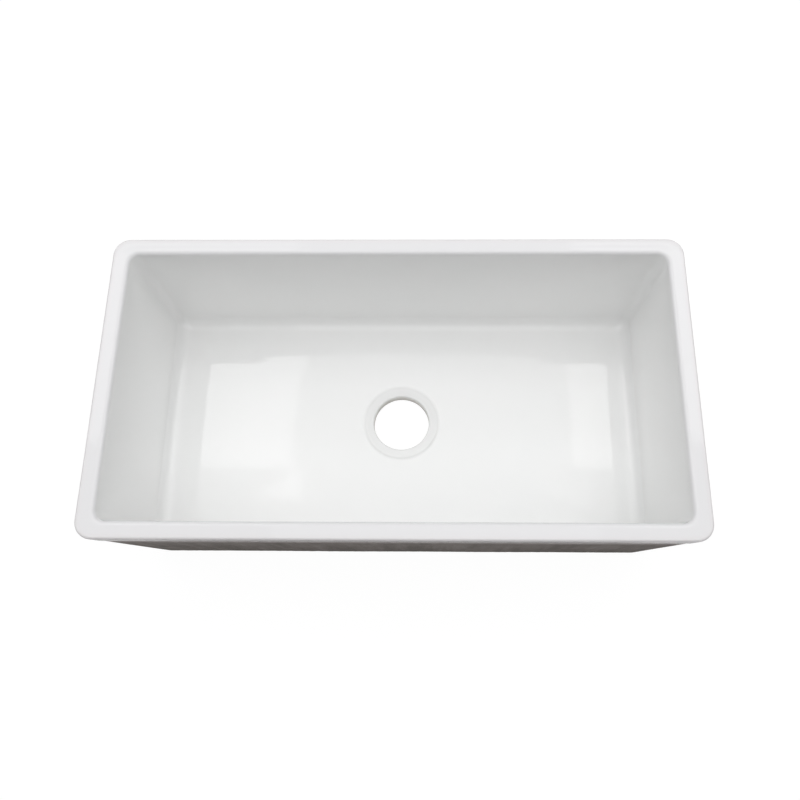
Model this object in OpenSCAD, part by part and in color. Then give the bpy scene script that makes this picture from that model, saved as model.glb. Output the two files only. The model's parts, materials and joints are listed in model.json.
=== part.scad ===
// Single-bowl undermount kitchen sink in glazed fireclay.
// Origin: middle of the base's underside. Front is -Y, +Z is up.

/* [Overall size] */
// Width over the rim, left to right
sink_w = 838; // [600:1:950]
// Depth over the rim, front to back
sink_d = 442; // [360:1:560]
// Height from the base to the top of the rim
sink_h = 254; // [180:1:300]
// Plan radius of the sink's outer corners
corner_r = 25; // [20:1:45]

/* [Walls and floor] */
// Width of the rim's top, from the outer face to the basin
rim_w = 25.5; // [20:0.5:32]
// Lean of the outer wall between the rim and the base
outer_draft = 14.5; // [4:0.5:20]
// Lean of the basin wall between the rim and the floor
basin_draft = 7; // [2:1:14]
// Height of the basin floor above the base, at the edge of the waste recess
floor_t = 22; // [16:1:30]
// Fall of the basin floor from its edges to the waste recess
floor_fall = 4; // [0.5:0.5:6]

/* [Edges and corners] */
// Radius of the rim's outer edge
rim_outer_r = 4; // [3:0.5:8]
// Radius of the rim's inner edge
rim_inner_r = 7; // [4:0.5:9]
// Plan radius of the basin's upright corners
basin_corner_r = 14; // [10:1:40]
// Plan radius of the corners at the edge of the floor
floor_corner_r = 5; // [2:1:12]
// Radius between the basin's walls and its floor
floor_fillet_r = 20; // [12:1:35]
// Plan radius of the outer corners at the base
base_corner_r = 40; // [30:1:60]
// Radius of the base's outer edge
base_edge_r = 14; // [4:1:18]

/* [Waste hole] */
// Diameter of the waste hole
waste_d = 92; // [60:1:100]
// Distance of the waste hole's centre behind the sink's middle
waste_back = 7; // [-60:1:60]
// Diameter of the flat seat round the waste hole
seat_d = 117; // [108:1:120]
// Diameter at which the recess round the seat meets the floor
recess_d = 131; // [126:1:160]
// Depth of the recess under the floor
recess_depth = 2.5; // [1:0.5:5]

/* [Coats] */
// Thickness of the glaze
glaze_t = 1; // [0.6:0.1:1.4]
// Thickness of the engobe under the glaze
engobe_t = 0.8; // [0.5:0.1:1.2]
// Length of outer wall that the glaze covers, from the top of the rim
glaze_lap = 26; // [10:1:40]
// Length of engobe that shows below the glaze
engobe_show = 3; // [1:1:10]

/* [Hidden] */

// Facets of each curve
corner_n = 8;
side_n = 6;
edge_n = 5;
fillet_n = 6;
recess_n = 5;
base_n = 4;
ring_n = 4 * (corner_n + side_n);
bore_fn = 96;

// The finished surface's heights and leans
coats_t = glaze_t + engobe_t;
floor_edge_z = floor_t + floor_fall;
basin_lean = atan(basin_draft / (sink_h - rim_inner_r - floor_edge_z));
outer_lean = atan(outer_draft / (sink_h - rim_outer_r));
inner_edge_x = rim_w - rim_inner_r;
inner_edge_z = sink_h - rim_inner_r;
outer_edge_z = sink_h - rim_outer_r;
fillet_z = floor_edge_z + floor_fillet_r;
// Where the finished basin wall touches the rim's inner edge
wall_top_x = inner_edge_x + rim_inner_r * cos(basin_lean);
wall_top_z = inner_edge_z + rim_inner_r * sin(basin_lean);
fillet_x = wall_top_x + (wall_top_z - fillet_z) * tan(basin_lean) + floor_fillet_r / cos(basin_lean);

// A profile point is [inset from the outer face, height, plan radius of its corners].
// depth is how far under the finished surface the profile lies.

function fillet_profile(depth) = [
    for (i = [0:fillet_n])
        let (a = 270 - i * (90 - basin_lean) / fillet_n)
        let (r = floor_fillet_r + depth)
        let (inset = fillet_x + r * cos(a))
        let (share = -cos(a) / cos(basin_lean))
        let (corner = floor_corner_r + (basin_corner_r - floor_corner_r) * share)
        [inset, fillet_z + r * sin(a), corner + depth]
];

function rim_inner_profile(depth) = [
    for (i = [0:edge_n])
        let (a = basin_lean + i * (90 - basin_lean) / edge_n)
        let (inset = inner_edge_x + (rim_inner_r - depth) * cos(a))
        [inset, inner_edge_z + (rim_inner_r - depth) * sin(a), basin_corner_r + rim_w - inset]
];

function rim_outer_profile(depth) = [
    for (i = [0:edge_n])
        let (a = 90 + i * (90 + outer_lean) / edge_n)
        let (inset = rim_outer_r + (rim_outer_r - depth) * cos(a))
        [inset, outer_edge_z + (rim_outer_r - depth) * sin(a), corner_r - inset]
];

// Inset of the outer wall at a height
function wall_inset(depth, z) =
    let (r = rim_outer_r - depth)
    let (touch_z = outer_edge_z - r * sin(outer_lean))
    rim_outer_r - r * cos(outer_lean) + (touch_z - z) * tan(outer_lean);

// Plan radius of the outer corners, which grow rounder towards the base
function wall_corner(z) =
    corner_r + (base_corner_r - corner_r) * (outer_edge_z - z) / outer_edge_z;

function wall_point(depth, z) = [wall_inset(depth, z), z, wall_corner(z) - depth];

// The base's outer edge, from the wall to the underside
function base_profile(depth) =
    let (inset = wall_inset(depth, base_edge_r))
    [for (i = [0:base_n])
        let (a = i * 90 / base_n)
        [
            inset + base_edge_r * (1 - cos(a)),
            base_edge_r * (1 - sin(a)),
            wall_corner(base_edge_r) - depth - base_edge_r * (1 - cos(a))
        ]
    ];

// One closed ring of points, a rounded rectangle with its long way along X
function corner_point(p, quarter, a) =
    let (sx = (quarter == 0 || quarter == 3) ? 1 : -1)
    let (sy = quarter < 2 ? 1 : -1)
    [
        sx * (sink_w / 2 - p[0] - p[2]) + p[2] * cos(a),
        sy * (sink_d / 2 - p[0] - p[2]) + p[2] * sin(a),
        p[1]
    ];

function plan_ring(p) = [
    for (quarter = [0:3])
        let (from = corner_point(p, quarter, 90 * (quarter + 1)))
        let (to = corner_point(p, (quarter + 1) % 4, 90 * (quarter + 1)))
        each concat(
            [for (i = [0:corner_n]) corner_point(p, quarter, 90 * (quarter + i / corner_n))],
            [for (i = [1:side_n - 1]) from + (to - from) * i / side_n]
        )
];

// One closed ring of points on a circle round the waste hole
function round_ring(r, z) = [
    for (i = [0:ring_n - 1])
        let (a = 45 + 360 * (i - corner_n / 2) / ring_n)
        [r * cos(a), waste_back + r * sin(a), z]
];

function recess_rings(depth) = [
    for (i = [0:recess_n])
        let (share = i / recess_n)
        let (r = seat_d / 2 + (recess_d - seat_d) / 2 * share)
        let (drop = recess_depth * (1 + cos(180 * share)) / 2)
        round_ring(r, floor_t - drop - depth)
];

// Rings from the seat, over the floor, the basin wall and the rim, to a height on the outer wall
function surface_rings(depth, end_z) = concat(
    recess_rings(depth),
    [
        for (p = concat(
            fillet_profile(depth),
            rim_inner_profile(depth),
            rim_outer_profile(depth),
            [wall_point(depth, end_z)]
        )) plan_ring(p)
    ]
);

function ring_face(start) = [for (i = [0:ring_n - 1]) start + i];
function reversed(list) = [for (i = [len(list) - 1:-1:0]) list[i]];

// Two triangles for each side of the band between two rings
function band(a, b) = [
    for (i = [0:ring_n - 1])
        let (next = (i + 1) % ring_n)
        each [
            [a + i, b + i, b + next],
            [a + i, b + next, a + next]
        ]
];

function bands(first, count) = [
    for (i = [0:count - 2])
        each band(first + i * ring_n, first + (i + 1) * ring_n)
];

// A solid whose skin runs through the rings, flat at the first and the last
module ring_solid(rings) {
    last = (len(rings) - 1) * ring_n;
    polyhedron(
        points = [for (ring = rings) each ring],
        faces = concat(
            [reversed(ring_face(0))],
            bands(0, len(rings)),
            [ring_face(last)]
        ),
        convexity = 6
    );
}

// A coat between two depths under the finished surface
module coat(top, bottom, end_z) {
    upper = surface_rings(top, end_z);
    lower = surface_rings(bottom, end_z);
    count = len(upper);
    below = count * ring_n;
    polyhedron(
        points = [for (ring = concat(upper, lower)) each ring],
        faces = concat(
            [reversed(ring_face(0))],
            bands(0, count),
            band(below - ring_n, 2 * below - ring_n),
            [for (face = bands(below, count)) reversed(face)],
            [ring_face(below)]
        ),
        convexity = 6
    );
}

module waste_bore() {
    clear = 1;
    translate([0, waste_back, -clear])
        cylinder(h = floor_t + 2 * clear, d = waste_d, $fn = bore_fn);
}

module fireclay_body() {
    color([0.55, 0.52, 0.49])
    difference() {
        ring_solid(concat(
            surface_rings(coats_t, sink_h - glaze_lap - engobe_show),
            [for (p = base_profile(coats_t)) plan_ring(p)],
            [round_ring(seat_d / 2, 0)]
        ));
        waste_bore();
    }
}

module engobe_coat() {
    color([0.80, 0.76, 0.74])
    difference() {
        coat(glaze_t, coats_t, sink_h - glaze_lap - engobe_show);
        waste_bore();
    }
}

module glaze_coat() {
    color([0.93, 0.94, 0.94])
    difference() {
        coat(0, glaze_t, sink_h - glaze_lap);
        waste_bore();
    }
}

fireclay_body();
engobe_coat();
glaze_coat();
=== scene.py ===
import json
import math

import bmesh
import bpy
from mathutils import Matrix, Vector, noise


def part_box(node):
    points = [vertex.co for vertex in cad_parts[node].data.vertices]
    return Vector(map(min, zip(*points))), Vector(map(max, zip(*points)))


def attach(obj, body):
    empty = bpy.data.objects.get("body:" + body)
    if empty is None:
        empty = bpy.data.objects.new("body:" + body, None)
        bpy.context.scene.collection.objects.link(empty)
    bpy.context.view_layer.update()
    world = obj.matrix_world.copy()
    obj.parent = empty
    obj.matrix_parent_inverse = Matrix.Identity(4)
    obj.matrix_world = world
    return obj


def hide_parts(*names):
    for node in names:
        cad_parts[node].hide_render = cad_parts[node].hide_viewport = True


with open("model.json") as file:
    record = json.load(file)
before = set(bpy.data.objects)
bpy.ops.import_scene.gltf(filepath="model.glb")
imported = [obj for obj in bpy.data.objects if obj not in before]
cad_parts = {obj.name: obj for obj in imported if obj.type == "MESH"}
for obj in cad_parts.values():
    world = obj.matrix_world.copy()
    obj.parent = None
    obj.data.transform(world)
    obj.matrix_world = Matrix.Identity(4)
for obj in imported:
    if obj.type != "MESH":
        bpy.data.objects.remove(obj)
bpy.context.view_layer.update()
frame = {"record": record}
print("frame loaded")

# Sizes that the frame gives
rimLow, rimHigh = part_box("glaze_coat")
sinkWidth = rimHigh.x - rimLow.x
sinkDepth = rimHigh.y - rimLow.y
sinkHeight = rimHigh.z
wasteMount = next(mount for mount in frame["record"]["mounts"] if mount["name"] == "waste_bore")
wasteRadius = wasteMount["dims"]["r_mm"] / 1000
wasteY = wasteMount["pos_m"][1]

casting = {
    "cornerRadius": 0.025,
    "rimWidth": 0.0255,
    "outerDraft": 0.0145,
    "basinDraft": 0.007,
    "floorHeight": 0.022,
    "floorFall": 0.0040,
    "rimOuterRadius": 0.004,
    "rimInnerRadius": 0.007,
    "basinCornerRadius": 0.014,
    "floorCornerRadius": 0.005,
    "floorFilletRadius": 0.020,
    "baseEdgeRadius": 0.014,
    "baseCornerRadius": 0.040,
    "seatRadius": 0.0585,
    "recessRadius": 0.0655,
    "recessDepth": 0.0025,
    "lipRadius": 0.003,  # the glaze rolls over the edge of the waste hole
    "boreRadius": 0.0008,  # sponged lower edge of the hole
    "seatFall": 0.00008,  # towards the hole
    "rimHollow": 0.00008,
    "baseHollow": 0.0006,
}
coats = {  # thicknesses, and where the coats end on the outer wall
    "glaze": 0.0010,
    "engobe": 0.0008,
    "glazeLap": 0.026,
    "engobeShow": 0.003,
    "wallBand": 0.006,  # the coats' outer wall lies within this of the outer faces
}

bareTop = sinkHeight - coats["glazeLap"] - coats["engobeShow"]  # the raw clay shows below this
floorEdge = casting["floorHeight"] + casting["floorFall"]
innerEdgeX = casting["rimWidth"] - casting["rimInnerRadius"]
innerEdgeZ = sinkHeight - casting["rimInnerRadius"]
outerEdgeZ = sinkHeight - casting["rimOuterRadius"]
basinLean = math.atan(casting["basinDraft"] / (innerEdgeZ - floorEdge))
outerLean = math.atan(casting["outerDraft"] / outerEdgeZ)
filletZ = floorEdge + casting["floorFilletRadius"]
wallTopX = innerEdgeX + casting["rimInnerRadius"] * math.cos(basinLean)
wallTopZ = innerEdgeZ + casting["rimInnerRadius"] * math.sin(basinLean)
filletX = (
    wallTopX
    + (wallTopZ - filletZ) * math.tan(basinLean)
    + casting["floorFilletRadius"] / math.cos(basinLean)
)


# The sink's section is a list of loops, from the waste hole out over the rim.
# depth is how far a loop lies under the finished glaze.

def roundLoop(radius, z):
    return {"shape": "round", "radius": radius, "z": z}


def boxLoop(inset, z, corner):
    return {"shape": "box", "inset": inset, "z": z, "corner": corner}


def shares(steps):
    return [i / steps for i in range(steps + 1)]


def seatHeight(depth):
    return casting["floorHeight"] - casting["recessDepth"] - depth


def recessLoops(depth, steps):
    inner, outer = casting["seatRadius"], casting["recessRadius"]
    loops = []
    for share in shares(steps):
        drop = casting["recessDepth"] * (1 + math.cos(math.pi * share)) / 2
        loops.append(roundLoop(inner + (outer - inner) * share, casting["floorHeight"] - drop - depth))
    return loops


def lipLoops(depth, steps):
    radius = casting["lipRadius"] - depth
    loops = []
    for share in shares(steps):
        angle = share * math.pi / 2
        inset = casting["lipRadius"] - radius * math.cos(angle)
        drop = casting["lipRadius"] - radius * math.sin(angle)
        loops.append(roundLoop(wasteRadius + inset, seatHeight(drop) - casting["seatFall"]))
    return loops


def filletLoops(depth, steps):
    radius = casting["floorFilletRadius"] + depth
    low, high = casting["floorCornerRadius"], casting["basinCornerRadius"]
    loops = []
    for share in shares(steps):
        angle = math.radians(270) - share * (math.pi / 2 - basinLean)
        corner = low - (high - low) * math.cos(angle) / math.cos(basinLean) + depth
        inset = filletX + radius * math.cos(angle)
        loops.append(boxLoop(inset, filletZ + radius * math.sin(angle), corner))
    return loops


def rimInnerLoops(depth, steps):
    radius = casting["rimInnerRadius"] - depth
    loops = []
    for share in shares(steps):
        angle = basinLean + share * (math.pi / 2 - basinLean)
        inset = innerEdgeX + radius * math.cos(angle)
        corner = casting["basinCornerRadius"] + casting["rimWidth"] - inset
        loops.append(boxLoop(inset, innerEdgeZ + radius * math.sin(angle), corner))
    return loops


def rimOuterLoops(depth, steps):
    radius = casting["rimOuterRadius"] - depth
    loops = []
    for share in shares(steps):
        angle = math.pi / 2 + share * (math.pi / 2 + outerLean)
        inset = casting["rimOuterRadius"] + radius * math.cos(angle)
        corner = casting["cornerRadius"] - inset
        loops.append(boxLoop(inset, outerEdgeZ + radius * math.sin(angle), corner))
    return loops


def wallInset(depth, z):
    radius = casting["rimOuterRadius"] - depth
    touchZ = outerEdgeZ - radius * math.sin(outerLean)
    return casting["rimOuterRadius"] - radius * math.cos(outerLean) + (touchZ - z) * math.tan(outerLean)


def wallCorner(z):
    # the outer corners grow rounder towards the base
    spread = casting["baseCornerRadius"] - casting["cornerRadius"]
    return casting["cornerRadius"] + spread * (outerEdgeZ - z) / outerEdgeZ


def wallLoop(depth, z):
    return boxLoop(wallInset(depth, z), z, wallCorner(z) - depth)


def baseLoops(depth, steps):
    radius = casting["baseEdgeRadius"]
    inset = wallInset(depth, radius)
    loops = []
    for share in shares(steps):
        angle = share * math.pi / 2
        rolled = radius * (1 - math.cos(angle))
        corner = wallCorner(radius) - depth - rolled
        loops.append(boxLoop(inset + rolled, radius * (1 - math.sin(angle)), corner))
    return loops


def between(first, second, cuts, hollow=0):
    # loops evenly spaced between two box loops, over a slight hollow
    loops = []
    for share in shares(cuts + 1)[1:-1]:
        inset, z, corner = (
            first[key] + (second[key] - first[key]) * share for key in ("inset", "z", "corner")
        )
        loops.append(boxLoop(inset, z - hollow * math.sin(math.pi * share), corner))
    return loops


def basinLoops(depth, grid):
    # from the waste hole up to the top of the rim's outer edge
    fillet = filletLoops(depth, grid["arcSteps"])
    rimInner = rimInnerLoops(depth, grid["edgeSteps"])
    rimOuter = rimOuterLoops(depth, grid["edgeSteps"])
    return (
        lipLoops(depth, grid["lipSteps"])
        + recessLoops(depth, grid["recessSteps"])
        + fillet
        + between(fillet[-1], rimInner[0], grid["wallCuts"])
        + rimInner
        + between(rimInner[-1], rimOuter[0], grid["rimCuts"], casting["rimHollow"])
        + rimOuter
    )


# Loops are drawn as wires and skinned with bridges

def drawLoop(bm, loop, grid):
    known = set(bm.edges)
    if loop["shape"] == "round":
        place = Matrix.Translation((0, wasteY, loop["z"]))
        count = 4 * grid["cornerCuts"] + 2 * (grid["longCuts"] + grid["shortCuts"] + 2)
        bmesh.ops.create_circle(bm, cap_ends=False, segments=count, radius=loop["radius"], matrix=place)
    else:
        halfX = sinkWidth / 2 - loop["inset"]
        halfY = sinkDepth / 2 - loop["inset"]
        signs = ((1, 1), (-1, 1), (-1, -1), (1, -1))
        corners = [bm.verts.new((sx * halfX, sy * halfY, loop["z"])) for sx, sy in signs]
        for i in range(4):
            bm.edges.new((corners[i - 1], corners[i]))
        bmesh.ops.bevel(
            bm, geom=corners, offset=loop["corner"], offset_type="OFFSET",
            segments=grid["cornerCuts"], profile=0.5, affect="VERTICES", material=-1,
        )
        atLeast = sinkDepth / 2  # only the straight sides are this long
        sides = [edge for edge in bm.edges if edge not in known and edge.calc_length() > atLeast]
        long = [edge for edge in sides if abs(edge.verts[0].co.x - edge.verts[1].co.x) > atLeast]
        short = [edge for edge in sides if edge not in long]
        bmesh.ops.subdivide_edges(bm, edges=long, cuts=grid["longCuts"])
        bmesh.ops.subdivide_edges(bm, edges=short, cuts=grid["shortCuts"])
    return [edge for edge in bm.edges if edge not in known]


def skin(bm, loops, grid, closed=False):
    wires = [drawLoop(bm, loop, grid) for loop in loops]
    pairs = list(zip(loops, loops[1:], wires, wires[1:]))
    if closed:
        pairs.append((loops[-1], loops[0], wires[-1], wires[0]))
    for first, second, wire, nextWire in pairs:
        made = bmesh.ops.bridge_loops(bm, edges=wire + nextWire)
        if first["shape"] != second["shape"]:
            rungs = [edge for edge in made["edges"] if edge.is_valid]
            bmesh.ops.subdivide_edges(bm, edges=rungs, cuts=grid["floorCuts"], use_grid_fill=True)


def finishPiece(bm, name, node, finish):
    data = bpy.data.meshes.new(name)
    bm.to_mesh(data)
    bm.free()
    data.materials.append(finish)
    for face in data.polygons:
        face.use_smooth = True
    piece = bpy.data.objects.new(name, data)
    bpy.context.scene.collection.objects.link(piece)
    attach(piece, "root")
    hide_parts(node)
    print(name, "made,", len(data.polygons), "faces")


def ripple(point, size):
    return noise.noise(point / size)


def clayBump(point, look):
    # upright ridges, swells and grit of the raw outer face, about -1 to 1
    pitch, length = look["ridgePitch"], look["ridgeLength"]
    streak = noise.noise(Vector((point.x / pitch, point.y / pitch, point.z / length)))
    swell = ripple(point, look["swellSize"])
    grit = ripple(point, look["gritSize"])
    return streak * look["ridgeShare"] + swell * look["swellShare"] + grit * look["gritShare"]


glazeCoat = {
    "cornerCuts": 12,
    "longCuts": 119,
    "shortCuts": 59,
    "arcSteps": 10,
    "edgeSteps": 8,
    "lipSteps": 5,
    "recessSteps": 10,
    "floorCuts": 30,
    "wallCuts": 26,
    "rimCuts": 3,
    "lapSteps": 6,
    "waveSize": 0.055,
    "waveDepth": 0.00016,
    "swellSize": 0.21,
    "swellDepth": 0.0005,
    "calmReach": 0.02,  # no waves at the waste hole, where a strainer seals
    "edgeWander": 0.0014,
    "edgeWanderSize": 0.045,
    "wanderShare": 1.0,
    "lipRound": 0.0004,
    "lipSegments": 3,
    "lipAngle": 60,
}


def pullDown(bm, fromZ, share):
    # the coat's lower edge wanders a little along the outer wall
    band = coats["wallBand"]
    for vert in bm.verts:
        outside = abs(vert.co.x) > sinkWidth / 2 - band or abs(vert.co.y) > sinkDepth / 2 - band
        if outside and vert.co.z < fromZ:
            along = Vector((vert.co.x, vert.co.y, 0))
            reach = (fromZ - vert.co.z) / (coats["glazeLap"] - casting["rimOuterRadius"])
            wander = glazeCoat["edgeWander"] * ripple(along, glazeCoat["edgeWanderSize"])
            vert.co.z += share * reach * wander


def coatSheet(depth, endZ, grid):
    bm = bmesh.new()
    upper = basinLoops(depth, grid)
    startZ = upper[-1]["z"]
    lap = [wallLoop(depth, startZ + (endZ - startZ) * share) for share in shares(grid["lapSteps"])[1:]]
    skin(bm, upper + lap, grid)
    bmesh.ops.recalc_face_normals(bm, faces=bm.faces[:])
    lowest = min(bm.faces, key=lambda face: face.calc_center_median().z)
    if lowest.normal.z < 0:
        bmesh.ops.reverse_faces(bm, faces=bm.faces[:])
    pullDown(bm, outerEdgeZ, grid["wanderShare"])
    return bm


def settle(bm, look):
    # the fired glaze isn't dead flat, and only ever dips inwards
    bm.normal_update()
    moves = []
    for vert in bm.verts:
        fromWaste = math.hypot(vert.co.x, vert.co.y - wasteY) - wasteRadius
        calm = min(1, fromWaste / look["calmReach"])
        wave = (ripple(vert.co, look["waveSize"]) - 1) / 2 * look["waveDepth"]
        swell = (ripple(vert.co, look["swellSize"]) - 1) / 2 * look["swellDepth"]
        moves.append(vert.normal * (wave + swell) * calm)
    for vert, move in zip(bm.verts, moves):
        vert.co += move


def roundLips(bm, look):
    # soft edges where the coat stops, at the waste hole and on the outer wall
    sharp = math.radians(look["lipAngle"])
    lips = [edge for edge in bm.edges if len(edge.link_faces) == 2 and edge.calc_face_angle() > sharp]
    bmesh.ops.bevel(
        bm, geom=lips, offset=look["lipRound"], offset_type="OFFSET", segments=look["lipSegments"],
        profile=0.5, affect="EDGES", clamp_overlap=True, material=-1,
    )


def makeGlaze(finish):
    bm = coatSheet(0, sinkHeight - coats["glazeLap"], glazeCoat)
    settle(bm, glazeCoat)
    bmesh.ops.solidify(bm, geom=bm.faces[:], thickness=coats["glaze"])
    roundLips(bm, glazeCoat)
    finishPiece(bm, "glaze", "glaze_coat", finish)


engobeCoat = {
    "cornerCuts": 12,
    "longCuts": 79,
    "shortCuts": 39,
    "arcSteps": 6,
    "edgeSteps": 6,
    "lipSteps": 3,
    "recessSteps": 6,
    "floorCuts": 4,
    "wallCuts": 3,
    "rimCuts": 1,
    "lapSteps": 3,
    "wanderShare": 0.6,
}


def makeEngobe(finish):
    bm = coatSheet(coats["glaze"], bareTop, engobeCoat)
    bmesh.ops.solidify(bm, geom=bm.faces[:], thickness=coats["engobe"])
    finishPiece(bm, "engobe", "engobe_coat", finish)


clayBody = {
    "cornerCuts": 16,
    "longCuts": 279,
    "shortCuts": 139,
    "arcSteps": 4,
    "edgeSteps": 3,
    "lipSteps": 1,
    "recessSteps": 3,
    "boreSteps": 4,
    "floorCuts": 1,
    "wallCuts": 1,
    "rimCuts": 1,
    "outerSteps": 34,
    "baseSteps": 5,
    "ridgePitch": 0.009,
    "ridgeLength": 0.16,
    "ridgeShare": 0.5,
    "swellSize": 0.12,
    "swellShare": 0.6,
    "gritSize": 0.004,
    "gritShare": 0.22,
    "relief": 0.00045,
    "reliefSink": 0.6,  # keeps the relief under the finished surface
    "reliefFrom": 0.0005,
    "fadeTop": 0.004,  # the relief dies out at the engobe and at the base
    "fadeBase": 0.006,
    "wallStart": 0.1,  # share of a step between the engobe and the wall's first loop
    "boreHold": 0.0004,
}


def boreLoops(steps):
    # the hole's wall, from its sponged lower edge to where the glaze ends
    radius = casting["boreRadius"]
    loops = []
    for share in shares(steps):
        angle = share * math.pi / 2
        rolled = radius * (1 - math.sin(angle))
        z = casting["baseHollow"] + radius * (1 - math.cos(angle))
        loops.append(roundLoop(wasteRadius + rolled, z))
    glazeEnd = seatHeight(casting["lipRadius"]) - casting["seatFall"] * 2
    loops.append(roundLoop(wasteRadius, glazeEnd - clayBody["boreHold"]))
    loops.append(roundLoop(wasteRadius, glazeEnd))
    return loops


def makeClay(finish):
    depth = coats["glaze"] + coats["engobe"]
    bm = bmesh.new()
    upper = basinLoops(depth, clayBody)
    base = baseLoops(coats["glaze"], clayBody["baseSteps"])
    steps = clayBody["outerSteps"]
    outer = [wallLoop(depth, bareTop)]
    for i in range(steps):
        share = (i + clayBody["wallStart"]) / steps
        # below the engobe the raw clay comes out flush with it
        outer.append(wallLoop(coats["glaze"], bareTop + (base[0]["z"] - bareTop) * share))
    under = [roundLoop(casting["seatRadius"], casting["baseHollow"] + casting["seatFall"])]
    loops = boreLoops(clayBody["boreSteps"]) + upper + outer + base + under
    skin(bm, loops, clayBody, closed=True)
    bmesh.ops.recalc_face_normals(bm, faces=bm.faces[:])
    bm.normal_update()
    moves = []
    for vert in bm.verts:
        outside = wallInset(depth, vert.co.z) + casting["baseEdgeRadius"]
        onWall = abs(vert.co.x) > sinkWidth / 2 - outside or abs(vert.co.y) > sinkDepth / 2 - outside
        if onWall and clayBody["reliefFrom"] < vert.co.z < bareTop:
            fade = min(1, (bareTop - vert.co.z) / clayBody["fadeTop"], vert.co.z / clayBody["fadeBase"])
            bump = clayBump(vert.co, clayBody) - clayBody["reliefSink"]
            moves.append((vert, vert.normal * clayBody["relief"] * fade * bump))
    for vert, move in moves:
        vert.co += move
    finishPiece(bm, "fireclay", "fireclay_body", finish)


# Finishes. A Signal is a node's output that can stand in a sum.

class Signal:
    def __init__(self, tree, socket):
        self.tree = tree
        self.socket = socket

    def maths(self, operation, first, second=None):
        node = self.tree.nodes.new("ShaderNodeMath")
        node.operation = operation
        for slot, value in enumerate((first, second)):
            if isinstance(value, Signal):
                self.tree.links.new(value.socket, node.inputs[slot])
            elif value is not None:
                node.inputs[slot].default_value = value
        return Signal(self.tree, node.outputs[0])

    def __add__(self, other):
        return self.maths("ADD", self, other)

    def __radd__(self, other):
        return self.maths("ADD", other, self)

    def __sub__(self, other):
        return self.maths("SUBTRACT", self, other)

    def __rsub__(self, other):
        return self.maths("SUBTRACT", other, self)

    def __mul__(self, other):
        return self.maths("MULTIPLY", self, other)

    def __rmul__(self, other):
        return self.maths("MULTIPLY", other, self)

    def __truediv__(self, other):
        return self.maths("DIVIDE", self, other)

    def above(self, level):
        return self.maths("GREATER_THAN", self, level)

    def clamped(self):
        return self.maths("MINIMUM", self.maths("MAXIMUM", self, 0.0), 1.0)


class Finish:
    def __init__(self, owner):
        owner.use_nodes = True
        self.owner = owner
        self.tree = owner.node_tree
        self.tree.nodes.clear()

    def add(self, kind, settings=None, feeds=None, output=0):
        node = self.tree.nodes.new("ShaderNode" + kind)
        for key, value in (settings or {}).items():
            setattr(node, key, value)
        for key, value in (feeds or {}).items():
            if isinstance(value, Signal):
                self.tree.links.new(value.socket, node.inputs[key])
            else:
                node.inputs[key].default_value = value
        return Signal(self.tree, node.outputs[output]) if node.outputs else None

    def place(self, stretch=(1, 1, 1)):
        here = self.add("TexCoord", output="Object")
        return self.add("Mapping", feeds={"Vector": here, "Scale": stretch})

    def grain(self, vector, scale, detail=2.0, roughness=0.5):
        return self.add("TexNoise", feeds={
            "Vector": vector, "Scale": scale, "Detail": detail, "Roughness": roughness,
        })

    def cells(self, vector, scale):
        feeds = {"Vector": vector, "Scale": scale}
        return self.add("TexVoronoi", {"feature": "F1"}, feeds, output="Distance")

    def blend(self, share, first, second):
        # a colour mix: sockets 6 and 7 are the colours, output 2 is the result
        return self.add("Mix", {"data_type": "RGBA"}, {0: share, 6: first, 7: second}, output=2)


def fromPoint(finish, y, spreadX=1, spreadY=1):
    # distance in plan from a point on the sink's middle line, in spreads
    here = finish.add("TexCoord", output="Object")
    flat = finish.add("Mapping", feeds={
        "Vector": here, "Location": (0, -y / spreadY, 0), "Scale": (1 / spreadX, 1 / spreadY, 0),
    })
    return finish.add("VectorMath", {"operation": "LENGTH"}, {"Vector": flat}, output="Value")


def fromEdge(finish):
    # distance in from the outer faces, round the corners too
    radius = casting["cornerRadius"]
    here = finish.add("TexCoord", output="Object")
    flat = finish.add("Mapping", feeds={"Vector": here, "Scale": (1, 1, 0)})
    side = finish.add("VectorMath", {"operation": "ABSOLUTE"}, {"Vector": flat})
    middle = (sinkWidth / 2 - radius, sinkDepth / 2 - radius, 0)
    over = finish.add("VectorMath", {"operation": "SUBTRACT"}, {0: side, 1: middle})
    over = finish.add("VectorMath", {"operation": "MAXIMUM"}, {0: over, 1: (0, 0, 0)})
    return radius - finish.add("VectorMath", {"operation": "LENGTH"}, {"Vector": over}, output="Value")


def surface(finish, shader):
    finish.add("OutputMaterial", feeds={"Surface": shader})
    return finish.owner


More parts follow.
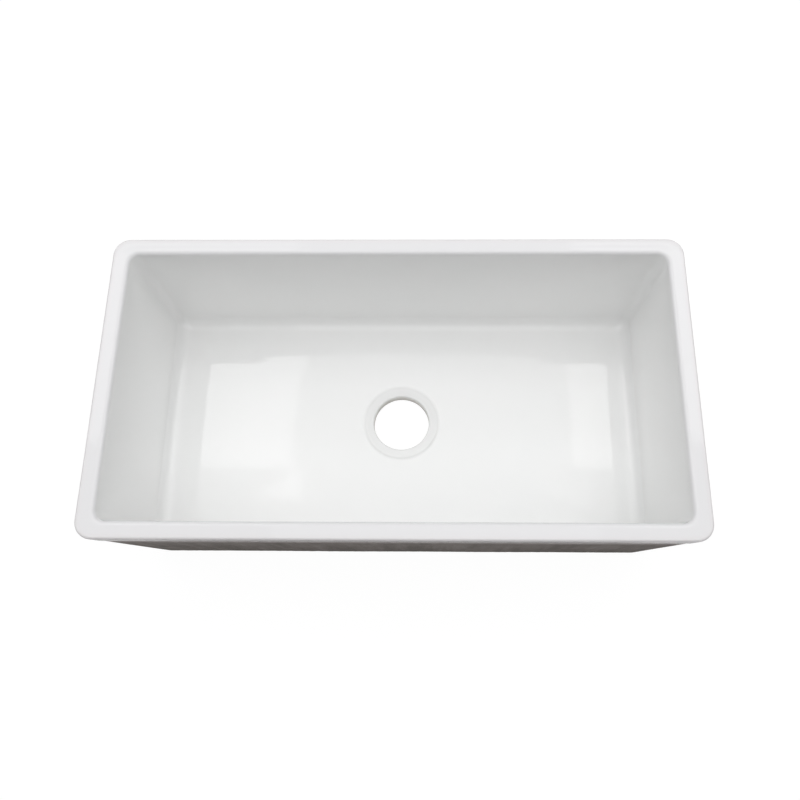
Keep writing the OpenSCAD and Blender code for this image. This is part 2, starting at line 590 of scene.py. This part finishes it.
def glazeFinish():
    look = {
        "white": (0.955, 0.956, 0.952, 1),
        "cooler": (0.938, 0.947, 0.942, 1),
        "cloudScale": 7.0,
        "cloudLevel": 0.35,
        "cloudGain": 1.6,
        "centreShade": (0.905, 0.910, 0.905, 1),  # painted shade, darker in the basin's middle where the light falls brightest
        "centreShadeSpread": (0.27, 0.11),
        "centreShadeY": -0.04,
        "recessShade": (0.850, 0.852, 0.848, 1),  # painted shade in the waste recess
        "recessShadeRadius": 0.0635,
        "recessShadeEdge": 0.0030,
        # the rim's top: a faint lilac tint, and painted shade that keeps it a little darker than the
        # floor
        "rim": (0.946, 0.942, 0.955, 1),
        "rimFade": 0.0045,
        "thin": (0.935, 0.905, 0.915, 1),  # the pink slip shows through at the outer edge
        "thinEdge": 0.013,
        "gloss": 0.03,
        "glossSpread": 0.015,
        "glossScale": 12.0,
        "rollScale": 17.0,
        "rollDepth": 0.00005,
        "peelScale": 90.0,
        "peelDepth": 0.000006,
    }
    made = Finish(bpy.data.materials.new("whiteGlaze"))
    here = made.place()
    cloud = (made.grain(here, look["cloudScale"], 3.0) - look["cloudLevel"]) * look["cloudGain"]
    tone = made.blend(cloud.clamped(), look["white"], look["cooler"])
    # painted shade: the basin's middle is darkened against the light pooling there
    spreadX, spreadY = look["centreShadeSpread"]
    centreShade = (1.0 - fromPoint(made, look["centreShadeY"], spreadX, spreadY)).clamped()
    tone = made.blend(centreShade, tone, look["centreShade"])
    # painted shade: the waste recess is darkened
    recessShade = ((look["recessShadeRadius"] - fromPoint(made, wasteY)) / look["recessShadeEdge"]).clamped()
    tone = made.blend(recessShade, tone, look["recessShade"])
    height = made.add("SeparateXYZ", feeds={"Vector": here}, output="Z")
    # lilac tint and painted shade over the rim's top
    onRim = ((height - innerEdgeZ) / look["rimFade"]).clamped()
    tone = made.blend(onRim, tone, look["rim"])
    thin = (1.0 - fromEdge(made) / look["thinEdge"]).clamped()
    tone = made.blend(thin * thin, tone, look["thin"])
    relief = made.grain(here, look["rollScale"], 1.0) * look["rollDepth"]
    relief = relief + made.grain(here, look["peelScale"], 2.0) * look["peelDepth"]
    bump = made.add("Bump", feeds={"Height": relief, "Distance": 1.0, "Strength": 1.0})
    gloss = made.grain(here, look["glossScale"], 2.0) * look["glossSpread"] + look["gloss"]
    shader = made.add("BsdfPrincipled", feeds={
        "Base Color": tone, "Roughness": gloss, "IOR": 1.5, "Normal": bump,
    })
    return surface(made, shader)


def engobeFinish():
    look = {
        "slip": (0.80, 0.72, 0.72, 1),
        "thin": (0.62, 0.54, 0.54, 1),
        "patchScale": 160.0,
        "patchLevel": 0.4,
        "patchGain": 3.0,
        "tooth": 0.00012,
        "toothScale": 420.0,
        "roughness": 0.72,
    }
    made = Finish(bpy.data.materials.new("pinkEngobe"))
    here = made.place()
    patchy = (made.grain(here, look["patchScale"], 4.0) - look["patchLevel"]) * look["patchGain"]
    tone = made.blend(patchy.clamped(), look["slip"], look["thin"])
    relief = made.grain(here, look["toothScale"], 3.0) * look["tooth"]
    bump = made.add("Bump", feeds={"Height": relief, "Distance": 1.0})
    shader = made.add("BsdfPrincipled", feeds={
        "Base Color": tone, "Roughness": look["roughness"], "Normal": bump,
    })
    return surface(made, shader)


def clayFinish():
    look = {
        "clay": (0.278, 0.247, 0.231, 1),
        "darkClay": (0.150, 0.132, 0.120, 1),
        "darkness": 0.15,
        "cloudScale": 14.0,
        "cloudLevel": 0.40,
        "cloudGain": 1.1,
        "streakScale": 130.0,
        "streakStretch": (1, 1, 0.06),
        "streakLevel": 0.42,
        "streakGain": 1.1,
        "dragScale": 34.0,
        "dragStretch": (1, 1, 0.10),
        "dragLevel": 0.42,
        "dragGain": 1.8,
        "baseShadeReach": 0.17,  # painted shade: the wall is darker near the base
        "baseShadeShare": 0.60,
        "mottleScale": 120.0,
        "mottleLevel": 0.5,
        "grog": (0.46, 0.42, 0.38, 1),
        "grogScale": 420.0,
        "grogSize": 0.34,
        "grogGain": 9.0,
        "grogThin": 5.0,
        "grogShare": 0.6,
        "iron": (0.075, 0.055, 0.045, 1),
        "ironScale": 150.0,
        "ironSize": 0.13,
        "ironGain": 18.0,
        "ironPatchScale": 60.0,
        "ironPatchLevel": 0.52,
        "ironShare": 0.8,
        "overspray": (0.86, 0.78, 0.78, 1),
        "sprayReach": 0.050,  # how far the overspray fades down the outer wall
        "sprayShare": 0.90,
        "sprayMottle": 0.7,
        "sprayDrag": 0.5,
        "sprayDragLevel": 0.5,
        "boreHigh": (0.86, 0.85, 0.82, 1),  # the hole's wall, where the glaze thins out downwards
        "boreLow": (0.50, 0.48, 0.45, 1),
        "boreEdge": 0.0015,
        "boreMottle": 0.4,
        "tooth": 0.00035,
        "toothScale": 900.0,
        "streakDepth": 0.0003,
        "pitScale": 230.0,
        "pitSize": 0.2,
        "pitGain": 5.0,
        "pitDepth": 0.0006,
        "roughness": 0.88,
        "sprayGloss": 0.15,
    }
    made = Finish(bpy.data.materials.new("rawFireclay"))
    here = made.place()
    cloud = made.grain(here, look["cloudScale"], 4.0, 0.6)
    streak = made.grain(made.place(look["streakStretch"]), look["streakScale"], 3.0, 0.6)
    drag = made.grain(made.place(look["dragStretch"]), look["dragScale"], 2.0, 0.5)
    mottle = made.grain(here, look["mottleScale"], 5.0, 0.65) - look["mottleLevel"]
    height = made.add("SeparateXYZ", feeds={"Vector": here}, output="Z")

    # the clay's own tones, with painted shade towards the base
    # painted shade: the outer wall darkens towards the base
    baseShade = (1.0 - height / look["baseShadeReach"]).clamped() * look["baseShadeShare"]
    shade = (cloud - look["cloudLevel"]) * look["cloudGain"]
    shade = shade + (streak - look["streakLevel"]) * look["streakGain"]
    shade = shade + (drag - look["dragLevel"]) * look["dragGain"] + look["darkness"] + baseShade
    tone = made.blend(shade.clamped(), look["clay"], look["darkClay"])

    # grog and iron specks in it
    grog = ((look["grogSize"] - made.cells(here, look["grogScale"])) * look["grogGain"]).clamped()
    grog = grog * (mottle * look["grogThin"]).clamped()
    tone = made.blend(grog * look["grogShare"], tone, look["grog"])
    iron = ((look["ironSize"] - made.cells(here, look["ironScale"])) * look["ironGain"]).clamped()
    iron = iron * made.grain(here, look["ironPatchScale"], 0.0).above(look["ironPatchLevel"])
    tone = made.blend(iron * look["ironShare"], tone, look["iron"])

    # overspray below the engobe, and the thin glaze in the hole
    mist = 1.0 - (bareTop - height) / look["sprayReach"] + mottle * look["sprayMottle"]
    mist = (mist + (drag - look["sprayDragLevel"]) * look["sprayDrag"]).clamped()
    mist = (mist * mist * look["sprayShare"]).clamped()
    tone = made.blend(mist, tone, look["overspray"])
    bore = ((wasteRadius + look["boreEdge"] - fromPoint(made, wasteY)) / look["boreEdge"]).clamped()
    thinning = (height / seatHeight(casting["lipRadius"]) + mottle * look["boreMottle"]).clamped()
    tone = made.blend(bore, tone, made.blend(thinning, look["boreLow"], look["boreHigh"]))

    pits = ((look["pitSize"] - made.cells(here, look["pitScale"])) * look["pitGain"]).clamped()
    relief = made.grain(here, look["toothScale"], 3.0, 0.7) * look["tooth"] + streak * look["streakDepth"]
    bump = made.add("Bump", feeds={"Height": relief - pits * look["pitDepth"], "Distance": 1.0})
    shader = made.add("BsdfPrincipled", feeds={
        "Base Color": tone, "Roughness": look["roughness"] - mist * look["sprayGloss"], "Normal": bump,
    })
    return surface(made, shader)


makeClay(clayFinish())
makeEngobe(engobeFinish())
makeGlaze(glazeFinish())


# Floor, lights and camera

studio = {
    "floorSize": 8.0,
    "floorGap": 0.0004,
    "floorPaper": (0.92, 0.92, 0.92, 1),  # what the sink sees
    "floorGlow": 0.955,  # what the camera sees, with floorShade for the shadow
    "floorShade": (0.09, 0.09, 0.09, 1),
    "skyFill": 0.075,
    "ceiling": {"place": (0.05, 0.55, 2.20), "size": (7.10, 4.10), "watts": 81.5},
    "topLight": {"place": (0.065, -0.57, 2.19), "size": (1.27, 1.86), "watts": 3.4},
    "softboxLeft": {"place": (-1.01, 0.86, 2.18), "size": (0.98, 0.88), "watts": 3.1},
    "softboxRight": {"place": (1.13, 0.86, 2.18), "size": (1.00, 0.88), "watts": 3.7},
}


def makeFloor():
    bm = bmesh.new()
    bmesh.ops.create_grid(bm, x_segments=1, y_segments=1, size=studio["floorSize"] / 2,
                          matrix=Matrix.Translation((0, 0, -studio["floorGap"])))
    data = bpy.data.meshes.new("studioFloor")
    bm.to_mesh(data)
    bm.free()
    made = Finish(bpy.data.materials.new("paperFloor"))
    paths = made.add("LightPath", output="Is Camera Ray")
    paper = made.add("BsdfDiffuse", feeds={"Color": studio["floorPaper"]})
    shade = made.add("BsdfDiffuse", feeds={"Color": studio["floorShade"]})
    glow = made.add("Emission", feeds={"Strength": studio["floorGlow"]})
    shown = made.add("AddShader", feeds={0: glow, 1: shade})
    mixed = made.add("MixShader", feeds={0: paths, 1: paper, 2: shown})
    data.materials.append(surface(made, mixed))
    floor = bpy.data.objects.new("studioFloor", data)
    bpy.context.scene.collection.objects.link(floor)


def makeSky():
    world = bpy.data.worlds.new("studioSky")
    bpy.context.scene.world = world
    made = Finish(world)
    camera = made.add("LightPath", output="Is Camera Ray")
    glossy = made.add("LightPath", output="Is Glossy Ray")
    clear = made.add("LightPath", output="Is Transmission Ray")
    seen = (camera + glossy + clear).clamped()
    strength = studio["skyFill"] + seen * (1.0 - studio["skyFill"])
    white = made.add("Background", feeds={"Color": (1, 1, 1, 1), "Strength": strength})
    made.add("OutputWorld", feeds={"Surface": white})


def makeLamp(name):
    look = studio[name]
    light = bpy.data.lights.new(name, "AREA")
    light.shape = "RECTANGLE"
    light.size, light.size_y = look["size"]
    light.energy = look["watts"]
    lamp = bpy.data.objects.new(name, light)
    lamp.location = look["place"]
    lamp.visible_camera = False
    bpy.context.scene.collection.objects.link(lamp)


makeFloor()
makeSky()
for lampName in ("ceiling", "topLight", "softboxLeft", "softboxRight"):
    makeLamp(lampName)

view = {
    "imageSize": 800,
    "sensorWidth": 36,
    "focal": 764.0,  # this and the centre are in pixels, the place is from the rim's top
    "centre": (421.3, 400.8),
    "place": (0.05355, -0.35392, 0.99563),
    "pitch": 1.2563,
    "yaw": 0.0512,
    "roll": -0.0467,
}


def makeCamera():
    data = bpy.data.cameras.new("photoView")
    data.sensor_width = view["sensorWidth"]
    data.lens = data.sensor_width * view["focal"] / view["imageSize"]
    half = view["imageSize"] / 2
    data.shift_x = (half - view["centre"][0]) / view["imageSize"]
    data.shift_y = (view["centre"][1] - half) / view["imageSize"]
    camera = bpy.data.objects.new("photoView", data)
    turn = Matrix.Rotation(view["yaw"], 4, "Z") @ Matrix.Rotation(math.pi / 2 - view["pitch"], 4, "X")
    turn = turn @ Matrix.Rotation(view["roll"], 4, "Z")
    x, y, z = view["place"]
    camera.matrix_world = Matrix.Translation((x, y, z + sinkHeight)) @ turn
    bpy.context.scene.collection.objects.link(camera)
    bpy.context.scene.camera = camera


makeCamera()
bpy.context.scene.view_settings.view_transform = "Standard"
print("studio ready")
